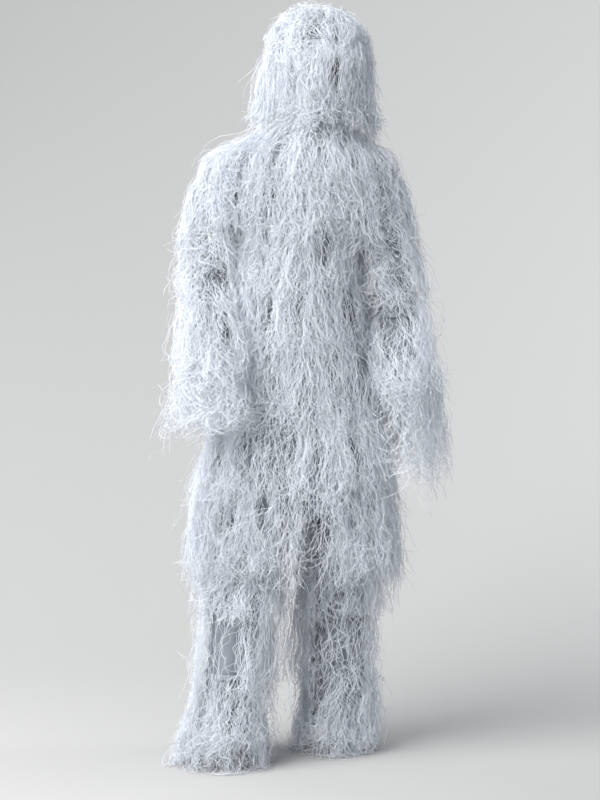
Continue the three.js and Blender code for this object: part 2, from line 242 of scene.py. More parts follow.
# ---- Materials ----
def node_material(name, slot, roughness, sheen=0.0):
    material = bpy.data.materials.new(name)
    material.use_nodes = True
    tree = material.node_tree
    shader = tree.nodes["Principled BSDF"]
    shader.inputs["Roughness"].default_value = roughness
    shader.inputs["Sheen Weight"].default_value = sheen
    shader.inputs["Sheen Roughness"].default_value = 0.5
    shader.inputs["Specular IOR Level"].default_value = 0.3
    material["slot"] = slot
    return material, tree, shader


def add_node(tree, kind, **values):
    node = tree.nodes.new(kind)
    for key, value in values.items():
        if key in node.inputs:
            node.inputs[key].default_value = value
        else:
            setattr(node, key, value)
    return node


def ramp(tree, fac, stops):
    node = tree.nodes.new("ShaderNodeValToRGB")
    elements = node.color_ramp.elements
    while len(elements) < len(stops):
        elements.new(0.5)
    for element, (place, color) in zip(elements, stops):
        element.position = place
        element.color = (*color, 1)
    tree.links.new(fac, node.inputs["Fac"])
    return node.outputs["Color"]


def thread_material():
    """White crimped thread: cool white, a little greyer from lock to lock and along each thread."""
    material, tree, shader = node_material("snow_thread", "thread", 0.8, sheen=0.35)
    shader.inputs["Specular IOR Level"].default_value = 0.12
    place = add_node(tree, "ShaderNodeTexCoord")
    locks = add_node(tree, "ShaderNodeTexNoise", Scale=38.0, Detail=3.0, Roughness=0.6)
    tree.links.new(place.outputs["Object"], locks.inputs["Vector"])
    color = ramp(
        tree,
        locks.outputs["Fac"],
        [(0.30, (0.66, 0.705, 0.785)), (0.48, (0.76, 0.80, 0.87)), (0.72, (0.84, 0.87, 0.925))],
    )
    tree.links.new(color, shader.inputs["Base Color"])
    twist = add_node(tree, "ShaderNodeTexNoise", Scale=900.0, Detail=2.0)
    tree.links.new(place.outputs["Object"], twist.inputs["Vector"])
    bump = add_node(tree, "ShaderNodeBump", Strength=0.25, Distance=0.0004)
    tree.links.new(twist.outputs["Fac"], bump.inputs["Height"])
    tree.links.new(bump.outputs["Normal"], shader.inputs["Normal"])
    return material


def cloth_material(name, slot, dark, light, weave=1400.0):
    """Smooth woven cloth: a fine plain weave, slight colour change from fold to fold."""
    material, tree, shader = node_material(name, slot, 0.55, sheen=0.2)
    place = add_node(tree, "ShaderNodeTexCoord")
    blotch = add_node(tree, "ShaderNodeTexNoise", Scale=14.0, Detail=4.0, Roughness=0.55)
    tree.links.new(place.outputs["Object"], blotch.inputs["Vector"])
    color = ramp(tree, blotch.outputs["Fac"], [(0.32, dark), (0.68, light)])
    tree.links.new(color, shader.inputs["Base Color"])
    heights = []
    for direction in ("X", "Z"):
        wave = add_node(tree, "ShaderNodeTexWave", Scale=weave / 6, Distortion=0.4, bands_direction=direction)
        tree.links.new(place.outputs["Object"], wave.inputs["Vector"])
        heights.append(wave.outputs["Fac"])
    both = add_node(tree, "ShaderNodeMath", operation="MAXIMUM")
    tree.links.new(heights[0], both.inputs[0])
    tree.links.new(heights[1], both.inputs[1])
    bump = add_node(tree, "ShaderNodeBump", Strength=0.3, Distance=0.0003)
    tree.links.new(both.outputs[0], bump.inputs["Height"])
    tree.links.new(bump.outputs["Normal"], shader.inputs["Normal"])
    return material


THREAD = thread_material()
CLOTH = cloth_material("snow_cloth", "snow_cloth", (0.165, 0.18, 0.21), (0.225, 0.245, 0.28))
LINING = cloth_material("lining_cloth", "lining_cloth", (0.13, 0.155, 0.20), (0.20, 0.23, 0.28), 900.0)
ELASTIC = cloth_material("elastic_band", "elastic", (0.50, 0.55, 0.62), (0.62, 0.67, 0.73), 700.0)
TAPE_CLOTH = cloth_material("sewing_tape", "snow_cloth", (0.22, 0.24, 0.275), (0.30, 0.325, 0.365), 1000.0)
ZIP, _, zip_shader = node_material("zip_plastic", "zip_plastic", 0.35)
zip_shader.inputs["Base Color"].default_value = (0.45, 0.50, 0.58, 1)


# ---- Pieces ----
def mesh_object(name, points, faces, material, smooth_faces=True):
    mesh = bpy.data.meshes.new(name)
    faces = [np.asarray(group, np.int32) for group in faces if len(group)]
    mesh.vertices.add(len(points))
    mesh.vertices.foreach_set("co", np.asarray(points, np.float32).ravel())
    sizes = np.concatenate([np.full(len(group), group.shape[1], np.int32) for group in faces])
    mesh.loops.add(int(sizes.sum()))
    mesh.loops.foreach_set("vertex_index", np.concatenate([group.ravel() for group in faces]))
    mesh.polygons.add(len(sizes))
    mesh.polygons.foreach_set("loop_start", np.concatenate([[0], np.cumsum(sizes)[:-1]]).astype(np.int32))
    mesh.polygons.foreach_set("use_smooth", np.full(len(sizes), smooth_faces))
    mesh.update(calc_edges=True)
    mesh.validate()
    mesh.materials.append(material)
    piece = bpy.data.objects.new(name, mesh)
    bpy.context.scene.collection.objects.link(piece)
    return piece


def grid_faces(rows, columns, closed):
    """Quads of a grid of points. Closed joins the last column to the first."""
    down = np.arange(rows - 1)[:, None] * columns
    across = np.arange(columns if closed else columns - 1)[None, :]
    after = (across + 1) % columns
    a, b = down + across, down + after
    return np.stack([a, b, b + columns, a + columns], -1).reshape(-1, 4)


def follow(piece, motion):
    """motion is one body, which the piece is attached to, or a function that does it. Anything else, such as
    (body above, body below, height where it starts to bend, height where it ends), is not read: the piece
    stays where it is, with its transform baked into the mesh and no bend."""
    if callable(motion):
        motion(piece)
    elif isinstance(motion, str):
        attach(piece, motion)
    else:
        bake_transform(piece)
    return piece


# Threads -----------------------------------------------------------------
def tubes(lines, radius, outward):
    """Closed thin tubes round lines of points, tapering at both ends: (points, quads, end triangles)."""
    count, steps, _ = lines.shape
    tangent = np.gradient(lines, axis=1)
    tangent /= np.linalg.norm(tangent, axis=2, keepdims=True) + 1e-12
    side = np.cross(tangent, outward[:, None, :])
    side /= np.linalg.norm(side, axis=2, keepdims=True) + 1e-9
    face = np.cross(side, tangent)
    s = np.linspace(0, 1, steps)
    taper = np.clip(np.minimum(0.55 + s / 0.04, 0.55 + (1 - s) / 0.06), 0, 1)
    turn = np.arange(THREAD_SIDES) * TAU / THREAD_SIDES
    size = (radius[:, None] * taper)[:, :, None, None]
    points = lines[:, :, None, :] + size * (
        side[:, :, None, :] * np.cos(turn)[:, None] + face[:, :, None, :] * np.sin(turn)[:, None]
    )
    one = grid_faces(steps, THREAD_SIDES, True)
    base = np.arange(count)[:, None, None] * steps * THREAD_SIDES
    quads = (base + one).reshape(-1, 4)
    first = np.arange(THREAD_SIDES)[::-1]
    last = (steps - 1) * THREAD_SIDES + np.arange(THREAD_SIDES)
    ends = (base + np.stack([first, last])).reshape(-1, 3)
    return points.reshape(-1, 3), quads, ends


def thread_piece(name, lines, radius, outward):
    points, quads, ends = tubes(lines, radius, outward)
    piece = mesh_object(name, points, [quads, ends], THREAD)
    lay_out(piece, len(lines))
    return piece


def lay_out(piece, count):
    """A flat layout of texture coordinates, named OFBake: each thread has its own cell."""
    cells = math.ceil(math.sqrt(count))
    mesh = piece.data
    steps, sides = THREAD_STEPS + 1, THREAD_SIDES
    index = np.empty(len(mesh.loops), np.int32)
    mesh.loops.foreach_get("vertex_index", index)
    thread, rest = np.divmod(index, steps * sides)
    step, turn = np.divmod(rest, sides)
    u = (thread % cells + 0.1 + 0.8 * turn / sides) / cells
    v = (thread // cells + 0.05 + 0.9 * step / steps) / cells
    layer = mesh.uv_layers.new(name="OFBake")
    layer.data.foreach_set("uv", np.stack([u, v], 1).astype(np.float32).ravel())


def waves(rng, run, wavelength, size):
    """A soft wave along each thread, as an angle."""
    count = len(run)
    phase = rng.uniform(0, TAU, (count, 1))
    stretch = rng.uniform(0.8, 1.25, (count, 1))
    return size * np.sin(TAU * run / (wavelength * stretch) + phase)


def integrate(values, length):
    step = length[:, None] / THREAD_STEPS
    middle = (values[:, 1:] + values[:, :-1]) / 2 * step
    return np.concatenate([np.zeros((len(values), 1)), np.cumsum(middle, axis=1)], 1)


REACH = 0.35  # longest that a lock's shape is worked out for
OWN_LEAN = 0.07  # how far one thread leans from its lock, in radians
LOOSE_RISE = 0.008  # a loose thread lies this far out over its neighbours
HOOK_SHARE = 0.3  # share of the threads whose tip turns far round
HOOK, NO_HOOK = 2.6, 0.8  # how far tips turn, in shares of the tier's curl
PILE = 0.004  # how high threads pile up where they lie on the floor


class Locks:
    """The locks that a tier's threads hang in. Its rows share them."""

    def __init__(self, rng, width, tier):
        self.edges = np.cumsum(rng.uniform(*tier["lock"], int(width / tier["lock"][0]) + 2))
        self.middles = np.concatenate([[self.edges[0] / 2], (self.edges[1:] + self.edges[:-1]) / 2])
        count = len(self.middles)
        self.width = width
        self.fill = np.clip(rng.normal(*tier["fill"], count), 0.06, 1)
        self.fill[rng.uniform(0, 1, count) < tier["gaps"]] = 0.05
        self.length = rng.normal(1, 0.13, count)
        self.body = np.clip(rng.normal(1, 0.28, count), 0.3, 1.8)
        self.gather = rng.uniform(*tier["gather"], count)
        run = np.linspace(0, REACH, THREAD_STEPS + 1)[None, :] * np.ones((count, 1))
        sway = waves(rng, run, 0.22, 0.20) + waves(rng, run, 0.11, 0.20)
        self.lean = rng.normal(0, tier["lean"], (count, 1)) + sway * tier["crimp"]
        self.tilt = 0.5 * (waves(rng, run, 0.20, 0.16) + waves(rng, run, 0.10, 0.14)) * tier["crimp"]

    def shape(self, values, lock, length):
        """A lock's lean along each of its threads."""
        place = np.linspace(0, 1, THREAD_STEPS + 1)[None, :] * length[:, None] / REACH * THREAD_STEPS
        low = np.clip(place.astype(int), 0, THREAD_STEPS - 1)
        share = np.clip(place - low, 0, 1)
        rows = values[lock]
        return np.take_along_axis(rows, low, 1) * (1 - share) + np.take_along_axis(rows, low + 1, 1) * share


def row_of_threads(rng, surface, tier, locks, z):
    """One sewn row of threads that hangs in locks: (lines, outward directions)."""
    angle, round_it = surface.along(z)
    place = np.arange(0, round_it[-1], tier["spacing"])
    place = place + rng.uniform(-0.5, 0.5, len(place)) * tier["spacing"]
    scale = round_it[-1] / locks.width
    lock = np.searchsorted(locks.edges, place / scale)
    root = np.interp(place, round_it, angle)
    loose = rng.uniform(0, 1, len(place)) < tier["loose"]
    kept = (rng.uniform(0, 1, len(place)) < locks.fill[lock] + 0.5 * loose) & tier["where"](root)
    place, lock, root, loose = place[kept], lock[kept], root[kept], loose[kept]
    count = len(place)
    length = (z - tier["foot"]) * tier["slack"] * locks.length[lock] * rng.normal(1, 0.07, count)
    length = np.where(rng.uniform(0, 1, count) < tier["short"], length * rng.uniform(0.4, 0.9, count), length)
    s = np.linspace(0, 1, THREAD_STEPS + 1)[None, :]
    run = s * length[:, None]
    own = tier["crimp"] * (1 + 0.8 * loose[:, None])
    start = rng.uniform(0.55, 0.85, (count, 1))
    turn = smooth((s - start) / (1 - start))
    hooked = np.where(rng.uniform(0, 1, (count, 1)) < HOOK_SHARE, HOOK, NO_HOOK)
    lean = locks.shape(locks.lean, lock, length) * ~loose[:, None]
    lean += rng.normal(0, OWN_LEAN, (count, 1))
    lean += rng.normal(0, tier["stray"], (count, 1)) * loose[:, None] * (1 - 0.5 * s)
    lean += own * (waves(rng, run, 0.15, 0.16) + waves(rng, run, 0.080, 0.20) + waves(rng, run, 0.042, 0.34))
    lean += rng.normal(0, tier["curl"], (count, 1)) * hooked * turn
    tilt = locks.shape(locks.tilt, lock, length)
    tilt += 0.55 * own * (waves(rng, run, 0.11, 0.22) + waves(rng, run, 0.045, 0.36))
    tilt += rng.normal(0, 0.25 * tier["curl"], (count, 1)) * hooked * turn
    sideways = integrate(np.sin(lean), length)
    gather = locks.gather[lock] * ~loose
    sideways += (locks.middles[lock] * scale - place)[:, None] * gather[:, None] * smooth(s * 1.15)
    down = integrate(np.cos(lean) * np.cos(tilt * 0.8), length)
    low, high = tier["rise"]
    body = locks.body[lock] * rng.normal(1, 0.18, count)
    rise = low + (high - low) * body[:, None] * s ** tier["swell"]
    rise += integrate(np.sin(tilt), length) + loose[:, None] * LOOSE_RISE * smooth(s * 3)
    rise += tier["puff"] * np.sin(math.pi * np.clip(s * 2.2, 0, 1)) * body[:, None]
    least = np.where(tier["over"] & facing(PLACKET_AT, 0.26)(root), PLACKET_RISE + 0.0015, tier["least"])
    rise = np.maximum(rise, least[:, None] + 0.002 * rng.uniform(0, 1, (count, 1)))
    per_radian = np.interp(root, angle[:-1], np.diff(round_it) / np.diff(angle))
    where = root[:, None] + sideways / per_radian[:, None]
    root_z = z + rng.uniform(-0.5, 0.5, count)[:, None] * tier["scatter"]
    t = surface.t_at(root_z) + down
    if tier["drape"]:
        where = draped(surface, root, where, z, t, tier["drape"])
    lines = surface.point(where, t, rise, root_z=root_z if tier["slants"] else None)
    under = np.maximum(FLOOR - lines[..., 2], 0)
    out = np.stack([np.cos(where), np.sin(where)], -1)
    lines[..., :2] += out * (under * tier["splay"] * rng.uniform(0.05, 1, (count, 1)))[..., None]
    lines[..., 2] = np.maximum(lines[..., 2], FLOOR) + PILE * abs(np.sin(41 * where)) * (under > 0)
    normal = np.stack([np.cos(root), np.sin(root), np.zeros(count)], -1)
    return within(lines), normal


def draped(surface, root, where, z, t, share):
    """On a shoulder threads fall forwards and backwards, and not outwards."""
    here = surface.place(where, np.interp(t, surface.t, surface.z))[2]
    above = surface.place(where, np.full(where.shape, z))[2]
    share = share * smooth(1.1 * abs(np.sin(root)))[:, None] * np.sign(np.sin(root))[:, None]
    cos = np.cos(where)
    return where + share * (np.arccos(cos * above / np.maximum(here, above)) - np.arccos(cos))


EDGE = 0.020  # threads turn back this far before the limit
ROOM_SHARE, ROOM = 0.028, 0.007  # the limit lies this share of each side, and this much more, past the CAD's box
low, high = np.array(cad_low), np.array(cad_high)
room_low = low - ROOM_SHARE * (high - low) - ROOM
room_high = high + ROOM_SHARE * (high - low) + ROOM


def within(lines):
    """Bends what stands out furthest softly back, so that it stays in the suit's own space."""
    over = np.maximum(lines - (room_high - EDGE), 0)
    lines = np.where(over > 0, room_high - EDGE * np.exp(-over / EDGE), lines)
    over = np.maximum((room_low + EDGE) - lines, 0)
    bent = room_low + EDGE * np.exp(-over / EDGE)
    bent[..., 2] = lines[..., 2]
    return np.where(over > 0, bent, lines)


TIER = dict(
    spacing=0.00095,
    lock=(0.008, 0.028),
    fill=(0.62, 0.46),
    gaps=0.12,  # share of the locks that are nearly bare
    gather=(0.55, 1.0),
    lean=0.08,
    loose=0.10,
    stray=0.40,
    short=0.12,
    slack=1.20,
    drape=0.0,  # share of the way that threads on a shoulder fall forwards and backwards
    curl=0.75,
    crimp=1.0,
    rise=(0.004, 0.034),
    swell=0.5,
    puff=0.006,
    least=0.0025,
    over=False,  # these threads hang over the placket
    scatter=0.010,
    taped=True,
    slants=False,
    splay=0.6,
    where=lambda angle: np.ones(len(angle), bool),
)


def threads(name, seed, surface, tiers, motion):
    """Tiers of threads on one part of the suit, cut into pieces that move the same way."""
    rng = np.random.default_rng(seed)
    made, pieces = [], []
    for number, tier in enumerate(tiers):
        tier = {**TIER, **tier}
        if tier["taped"]:
            high, low = tier["heights"][0] + TAPE, tier["heights"][0] - TAPE
            rise = tier["least"] - 0.0012
            tape = f"{name.replace('threads', 'tape')}_{number + 1}"
            pieces.append(band(tape, surface, high, low, rise, motion, TAPE_CLOTH, where=tier["where"]))
        locks = Locks(rng, surface.along(tier["heights"][0])[1][-1], tier)
        made += [row_of_threads(rng, surface, tier, locks, z) for z in tier["heights"]]
    lines = np.concatenate([m[0] for m in made])
    normal = np.concatenate([m[1] for m in made])
    radius = THREAD_RADIUS * rng.uniform(0.7, 1.25, len(lines))
    parts = math.ceil(len(lines) / MOST_THREADS)
    for n, chosen in enumerate(np.array_split(np.arange(len(lines)), parts)):
        label = name if parts == 1 else f"{name}_{n + 1}"
        pieces.append(follow(thread_piece(label, lines[chosen], radius[chosen], normal[chosen]), motion))
    return pieces


# Cloth -------------------------------------------------------------------
def folds(rng, angle, z, depth, count):
    """Soft folds that run down the cloth, always inwards."""
    total = np.zeros(np.broadcast(angle, z).shape)
    for n in range(3):
        around = round(count * (1 + 0.6 * n))
        phase, sway = rng.uniform(0, TAU), rng.uniform(6, 14)
        total = total + np.sin(around * angle + phase + 1.2 * np.sin(sway * z + phase)) / (1 + n)
    return -depth * (0.5 + 0.28 * total)


def sheet_of(surface, angles, heights, rises, closed, name, material, keep=None):
    """A thin grid on a surface: (piece, its length and width laid flat, its flat area)."""
    t0, t1 = surface.t_at(heights)
    t = np.linspace(t0, t1, rises.shape[0])[:, None]
    points = surface.point(angles[None, :], t, rises)
    faces = grid_faces(*rises.shape, closed)
    if keep is not None:
        points, chosen = keep(points)
        faces = faces[chosen.ravel()[faces].all(1)]
    piece = mesh_object(name, points.reshape(-1, 3), [faces[:, ::-1]], material)
    flat = surface.point(angles[None, :], t, 0.0)
    around = np.linalg.norm(np.diff(flat, axis=1), axis=2).sum(1)
    return piece, (float(around.max()), float(t1 - t0)), float(around.mean() * (t1 - t0))


def thicken(piece, thickness, offset):
    modifier = piece.modifiers.new("thickness", "SOLIDIFY")
    modifier.thickness = thickness
    modifier.offset = offset


flats = {}


def cloth(name, seed, surface, high, low, motion, stands_for=(), depth=0.004, count=9, arc=None, keep=None,
          material=None, columns=96, fine=0.012):
    """A thin sheet of cloth round a part of the suit. arc is (first angle, last angle) where it is open."""
    rng = np.random.default_rng(seed)
    t0, t1 = surface.t_at([high, low])
    rows = max(6, round((t1 - t0) / fine)) + 1
    angles = np.linspace(0, TAU, columns, endpoint=False) if arc is None else np.linspace(*arc, columns)
    z = np.interp(np.linspace(t0, t1, rows)[:, None], surface.t, surface.z)
    rises = folds(rng, angles[None, :], z, depth, count) - 0.001
    piece, flat, area = sheet_of(surface, angles, [high, low], rises, arc is None, name, material or CLOTH, keep)
    thicken(piece, CLOTH_THICKNESS, -1)
    follow(piece, motion)
    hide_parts(*stands_for)
    flats[name] = (piece, flat, area)
    return piece


def band(name, surface, high, low, rise, motion, material, stands_for=(), ripple=0.0, ripples=60, where=None):
    """A tape or an elastic round a part of the suit. ripple is the depth of an elastic's gathers."""
    columns = 180
    angles = np.linspace(0, TAU, columns, endpoint=False)
    across = np.linspace(-1, 1, 6)[:, None]
    stitched = 0.0004 * (1 - across**4) * np.ones((1, columns))
    gather = ripple * np.sin(ripples * angles + 0.7 * np.sin(5 * angles)) * (0.35 + 0.65 * abs(across))

    def keep(points):
        return points, np.broadcast_to(where(angles), (6, columns))

    piece, _, _ = sheet_of(
        surface, angles, [high, low], rise + gather + stitched, True, name, material, keep if where else None
    )
    thicken(piece, 0.0012, 1)
    follow(piece, motion)
    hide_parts(*stands_for)
    return piece


def skirt_motion():
    """The skirt's halves stay where they are, with their transform baked into the mesh; they don't follow the thighs.
    """
    return lambda piece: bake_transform(piece)


# ---- The tiers of threads: height of each tape, and how far down its threads hang ----
def tier(heights, foot, **changes):
    return dict(heights=heights, foot=foot, **changes)


def mostly_bare(middle, width):
    """Leaves out all but a few threads within that many radians of a direction."""
    return lambda angle: ~facing(middle, width)(angle) | (np.sin(97 * angle) > 0.93)


def away_from_arms(angle):
    return abs(np.cos(angle)) < 0.90


trunk = surfaces["trunk"]
on_trunk = dict(rise=(0.005, 0.032), least=0.003, over=True)
sewn = {}

sewn["yoke"] = threads(
    "shoulder_threads",
    11,
    surfaces["cape"],
    [
        tier([1.550, 1.535], 1.42, rise=(0.006, 0.014), drape=0.6),
        tier([1.515, 1.500], 1.36, rise=(0.005, 0.018), drape=0.7),
        tier([1.480, 1.463], 1.315, rise=(0.005, 0.026), drape=0.7),
        tier([1.445, 1.433], 1.285, rise=(0.005, 0.030), drape=0.5),
        tier([1.552, 1.545, 1.530], 1.31, rise=(0.010, 0.034), fill=(0.5, 0.4), lock=(0.006, 0.014), drape=0.8,
             where=lambda angle: abs(np.cos(angle)) < 0.9),
    ],
    "jacket",
)
sewn["trunk"] = threads(
    "chest_threads",
    12,
    trunk,
    [
        tier([1.415, 1.40, 1.385], 1.265, where=away_from_arms, **on_trunk),
        tier([1.345, 1.325, 1.30, 1.285], 1.145, **on_trunk),
    ],
    "jacket",
)
sewn["trunk"] += threads(
    "waist_threads",
    13,
    trunk,
    [tier([1.21, 1.185, 1.16, 1.13], 0.985, **on_trunk)],
    ("jacket", "trousers", 1.10, 1.01),
)
slit_at = FRONT + 0.174  # the foot of the front opening, where no thread is sewn
SKIRT_TIERS = {
    "hip_threads": tier([1.045, 1.02, 0.99, 0.955], 0.80, rise=(0.005, 0.033), least=0.003, over=True),
    "skirt_upper_threads": tier([0.865, 0.84, 0.81, 0.775], 0.64, rise=(0.005, 0.046), fill=(0.6, 0.42), over=True),
    "skirt_lower_threads": tier([0.70, 0.675, 0.645, 0.612], 0.475, rise=(0.005, 0.040), least=0.003),
}
for number, (name, one) in enumerate(SKIRT_TIERS.items()):
    for side, sign in (("left", -1), ("right", 1)):
        def where(angle, sign=sign, slit=(0.0, 0.05, 0.11)[number]):
            return side_of(sign)(angle) & ~facing(slit_at, slit)(angle)

        made = threads(
            f"{name}_{side}",
            20 + 2 * number + (sign > 0),
            surfaces["skirt"],
            [dict(one, where=where)],
            skirt_motion(),
        )
        sewn[f"skirt_{side}"] = sewn.get(f"skirt_{side}", []) + made

ELBOW = {"left": 1.18, "right": 1.15}
for side, sign, seed in (("left", -1, 40), ("right", 1, 50)):
    sleeve, leg = surfaces[f"{side}_sleeve"], surfaces[f"{side}_leg"]
    outward = math.pi if sign < 0 else 0.0
    elbow = ELBOW[side]
    # The left shin and the front of the right elbow show their cloth.
    bare_shin = mostly_bare(FRONT - 0.4, 0.55 if sign < 0 else 0.0)
    bare_elbow = mostly_bare(FRONT - 0.3, 0.55 if sign > 0 else 0.0)
    sewn[f"{side}_upper_sleeve"] = threads(
        f"{side}_upper_sleeve_threads",
        seed,
        sleeve,
        [
            tier([1.41, 1.39, 1.365, 1.34], 1.235, rise=(0.003, 0.028), slants=True, where=facing(outward, 2.1)),
            tier([1.285, 1.265, 1.24, 1.215], 1.10, rise=(0.003, 0.034), slants=True, where=facing(outward, 2.4)),
        ],
        ("jacket", f"{side}_upper_arm", 1.43, 1.33),
    )
    sewn[f"{side}_forearm"] = threads(
        f"{side}_elbow_threads",
        seed + 1,
        sleeve,
        [
            tier(
                [elbow - 0.03, elbow - 0.055],
                0.94 if sign < 0 else 0.90,
                rise=(0.003, 0.046),
                slants=True,
                where=bare_elbow,
            ),
            tier([elbow - 0.08, elbow - 0.11], 0.93 if sign < 0 else 0.88, rise=(0.003, 0.046), slants=True),
        ],
        (f"{side}_upper_arm", f"{side}_forearm", elbow + 0.055, elbow - 0.055),
    )
    sewn[f"{side}_forearm"] += threads(
        f"{side}_cuff_threads",
        seed + 2,
        sleeve,
        [
            tier(
                [1.015, 1.00, 0.985, 0.972] if sign < 0 else [0.985, 0.96, 0.93, 0.90],
                0.82 if sign < 0 else 0.74,
                rise=(0.003, 0.060),
                slants=True,
                where=facing(outward, 2.3),
            )
        ],
        f"{side}_forearm",
    )
    sewn[f"{side}_leg"] = threads(
        f"{side}_knee_threads",
        seed + 4,
        leg,
        [
            tier([0.56, 0.53], 0.42, rise=(0.003, 0.036), slants=True),
            tier([0.48, 0.455, 0.43], 0.35, rise=(0.003, 0.034), slants=True, fill=(0.5, 0.45)),
        ],
        (f"{side}_thigh", f"{side}_shin", 0.56, 0.40),
    )
    sewn[f"{side}_leg"] += threads(
        f"{side}_shin_threads",
        seed + 5,
        leg,
        [
            tier(
                [0.385, 0.36, 0.33, 0.30],
                0.185,
                rise=(0.003, 0.026),
                slants=True,
                fill=(0.28, 0.35),
                where=bare_shin,
            ),
            tier(
                [0.45, 0.42],
                0.20,
                rise=(0.012, 0.060),
                slants=True,
                fill=(0.25, 0.2),
                where=facing(outward + math.pi, 0.8),
            ),
        ],
        f"{side}_shin",
    )
    sewn[f"{side}_leg"] += threads(
        f"{side}_hem_threads",
        seed + 6,
        leg,
        [
            tier([0.215, 0.19, 0.165, 0.14], 0.045, rise=(0.003, 0.044), slants=True),
            tier([0.12, 0.10, 0.08], 0.0, rise=(0.003, 0.042), slants=True),
        ],
        f"{side}_shin",
    )

hood = surfaces["hood"]
dome = dict(rise=(0.004, 0.020), puff=0.010, curl=1.0, slack=1.0, lock=(0.010, 0.024), gaps=0.05)
sewn["hood"] = threads(
    "hood_threads",
    70,
    hood,
    [
        tier([1.7912, 1.7904], 1.760, **dome),
        tier([1.790, 1.788], 1.735, **dome),
        tier([1.783, 1.778, 1.772], 1.685, **dome),
        tier([1.765, 1.755, 1.742], 1.655, **dome),
        tier([1.728, 1.715], 1.60, rise=(0.003, 0.022), where=facing(BACK, 2.5)),
        tier([1.700, 1.68, 1.66, 1.64], 1.53, rise=(0.004, 0.056), swell=0.9, gaps=0.05, where=facing(BACK, 2.45)),
    ],
    "hood",
)
veil_row = dict(fill=(0.95, 0.15), gather=(0.2, 0.6), gaps=0.0, taped=False)
sewn["veil"] = threads(
    "veil_threads",
    71,
    hood,
    [
        tier(
            [1.712, 1.708, 1.704, 1.700],
            1.54,
            rise=(0.014, 0.024),
            least=0.010,
            where=facing(FRONT, 0.95),
            **veil_row,
        ),
        tier([1.706, 1.702], 1.56, rise=(0.010, 0.018), least=0.008, where=facing(FRONT, 0.8), **veil_row),
    ],
    "veil",
)

# ---- Cloth under the threads ----
WAIST = ("jacket", "trousers", 1.12, 1.06)
ZIP_HALF = 0.044  # half the zip's width, as an angle
cloth("jacket_trunk_cloth", 80, trunk, 1.424, 1.061, WAIST, TRUNK_PANELS, depth=0.003,
      arc=(ZIP_AT + ZIP_HALF, ZIP_AT + TAU - ZIP_HALF))
cloth("jacket_yoke_cloth", 81, surfaces["yoke"], 1.505, 1.430, "jacket", ("jacket_yoke",), depth=0.003)
cloth("collar_cloth", 82, surfaces["yoke"], 1.525, 1.506, "jacket", ("collar",), depth=0.001, fine=0.004)
cloth("neck_cloth", 83, surfaces["yoke"], 1.560, 1.525, ("jacket", "hood", 1.524, 1.558), ("neck_section",),
      depth=0.002, material=LINING)
seat_surface = Surface(whole(rings("trouser_waistband", "trouser_seat")))
cloth("trouser_seat_cloth", 85, seat_surface, 1.004, 0.902, "trousers", ("trouser_seat",), depth=0.002)
band("waistband_elastic", seat_surface, 1.040, 1.003, -0.001, "trousers", ELASTIC, ("trouser_waistband",), 0.0012)
skirt = surfaces["skirt"]
SKIRT_ARCS = {"left": (BACK, FRONT + TAU + 0.07), "right": (FRONT + 0.02, BACK + 0.05)}
for side, sign in (("left", -1), ("right", 1)):
    move = skirt_motion()
    cloth(f"skirt_{side}_cloth", 95, skirt, 1.060, 0.600, move, (f"skirt_{side}",), depth=0.006, arc=SKIRT_ARCS[side])
    band(f"skirt_hem_{side}", skirt, 0.616, 0.599, 0.0008, move, CLOTH, where=side_of(sign))
band("waist_seam", trunk, 1.067, 1.055, 0.0006, WAIST, CLOTH)

for side in ("left", "right"):
    sleeve, leg = surfaces[f"{side}_sleeve"], surfaces[f"{side}_leg"]
    elbow = ELBOW[side]
    wrist, ankle = sleeve_rings[side][-1, 0], leg_rings[side][-1, 0]
    cloth(f"{side}_upper_sleeve_cloth", 90, sleeve, 1.424, elbow + 0.09, ("jacket", f"{side}_upper_arm", 1.43, 1.33),
          (f"{side}_shoulder_section", f"{side}_upper_sleeve"), count=4)
    cloth(f"{side}_forearm_cloth", 91, sleeve, elbow + 0.090, wrist + 0.020,
          (f"{side}_upper_arm", f"{side}_forearm", elbow + 0.055, elbow - 0.055),
          (f"{side}_elbow_section", f"{side}_forearm_sleeve"), depth=0.005, count=4)
    band(f"{side}_cuff_elastic", sleeve, wrist + 0.022, wrist, -0.0005, f"{side}_forearm", ELASTIC,
         (f"{side}_cuff_band",), 0.0012, 34)
    cloth(f"{side}_thigh_cloth", 92, leg, 0.893, 0.672, ("trousers", f"{side}_thigh", 0.98, 0.80),
          (f"{side}_hip_section",), depth=0.006, count=5)
    cloth(f"{side}_lower_leg_cloth", 93, leg, 0.673, ankle + 0.024, (f"{side}_thigh", f"{side}_shin", 0.56, 0.40),
          (f"{side}_thigh", f"{side}_knee_section", f"{side}_shin"), depth=0.007, count=5)
    band(f"{side}_ankle_elastic", leg, ankle + 0.024, ankle, -0.0005, f"{side}_shin", ELASTIC,
         (f"{side}_ankle_band",), 0.0014, 44)

# ---- Hood: its opening for the face, the elastic round it and the tape of the veil ----
ring_low, ring_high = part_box("hood_face_elastic")
FACE_BINDING = 0.0034  # half the thickness of the elastic
face_x, face_z = (ring_low.x + ring_high.x) / 2, (ring_low.z + ring_high.z) / 2
face_wide = (ring_high.x - ring_low.x) / 2 - 2 * FACE_BINDING
face_tall = (ring_high.z - ring_low.z) / 2 - 2 * FACE_BINDING


def round_the_face(points):
    """Cuts the face out of the hood, with a smooth edge."""
    x, z = (points[..., 0] - face_x) / face_wide, (points[..., 2] - face_z) / face_tall
    span = np.hypot(x, z)
    front = points[..., 1] < hood_rings[0, 2]
    edge = front & (span > 0.94) & (span < 1.10)
    points = points.copy()
    points[..., 0] = np.where(edge, face_x + face_wide * x / span, points[..., 0])
    points[..., 2] = np.where(edge, face_z + face_tall * z / span, points[..., 2])
    return points, ~(front & (span <= 0.94))


cloth("hood_cloth", 84, hood, 1.790, 1.561, "hood", ("hood_crown",), depth=0.003, keep=round_the_face,
      columns=170, fine=0.006)


